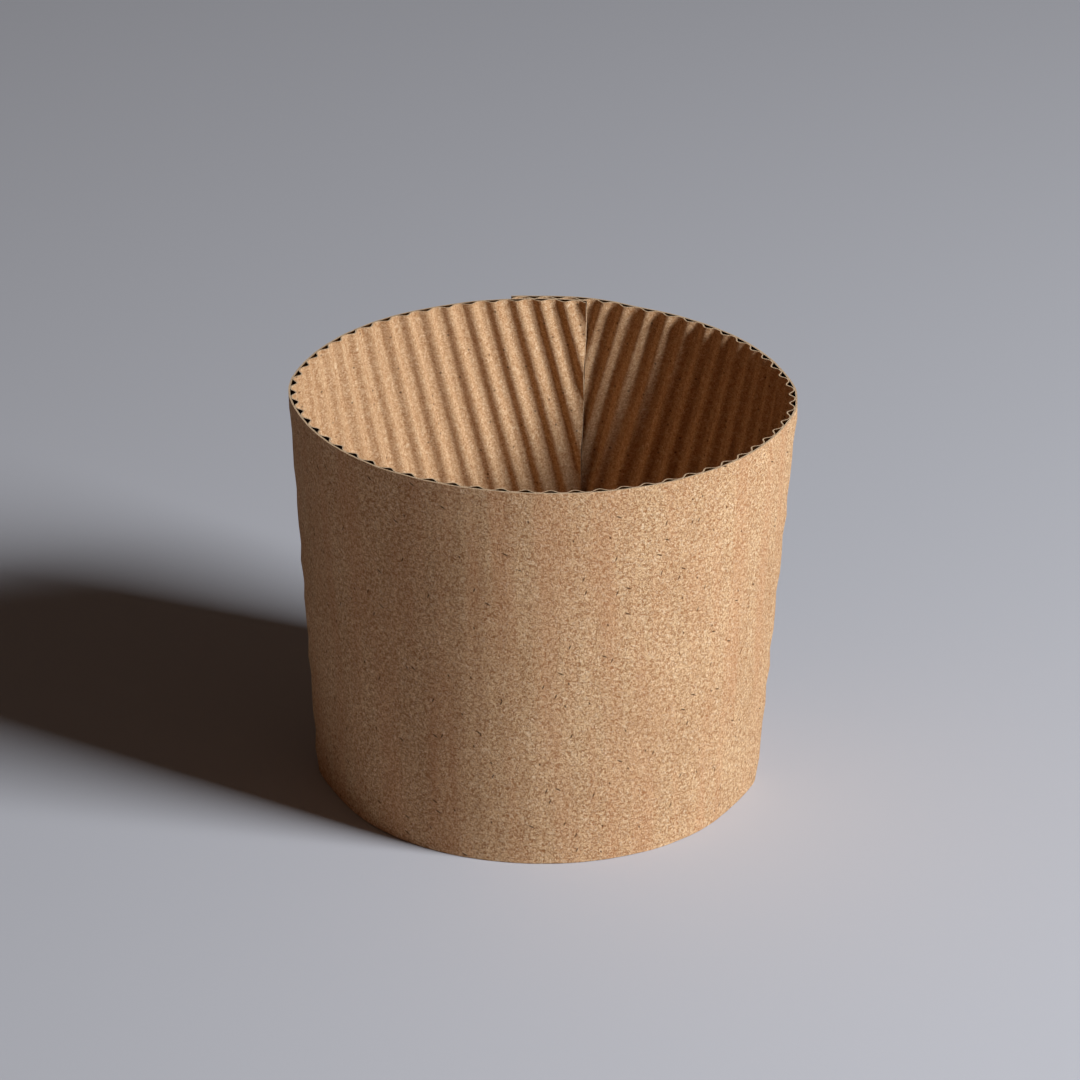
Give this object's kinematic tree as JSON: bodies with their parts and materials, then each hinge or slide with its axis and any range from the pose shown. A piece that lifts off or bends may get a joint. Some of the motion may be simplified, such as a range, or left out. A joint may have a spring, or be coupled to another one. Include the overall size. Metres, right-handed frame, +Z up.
{
  "type": "coffee cup sleeve",
  "caption": "Tapered heat sleeve for a takeaway cup: a ring of corrugated kraft board, smooth outside and fluted inside, with side creases and a glued back lap.",
  "frame": {"origin": "on the axis of the ring, at the level of its narrow lower rim", "axes": "+Z up along the axis towards the wide rim, -Y through the middle of the front, the creases at -X and +X, the glued lap at +Y"},
  "size_m": [0.0846, 0.0841, 0.0696],
  "materials": {
    "kraft_board": "matt uncoated brown kraft with fine fibres"
  },
  "bodies": {
    "root": {"sleeve": "kraft_board"}
  },
  "joints": []
}
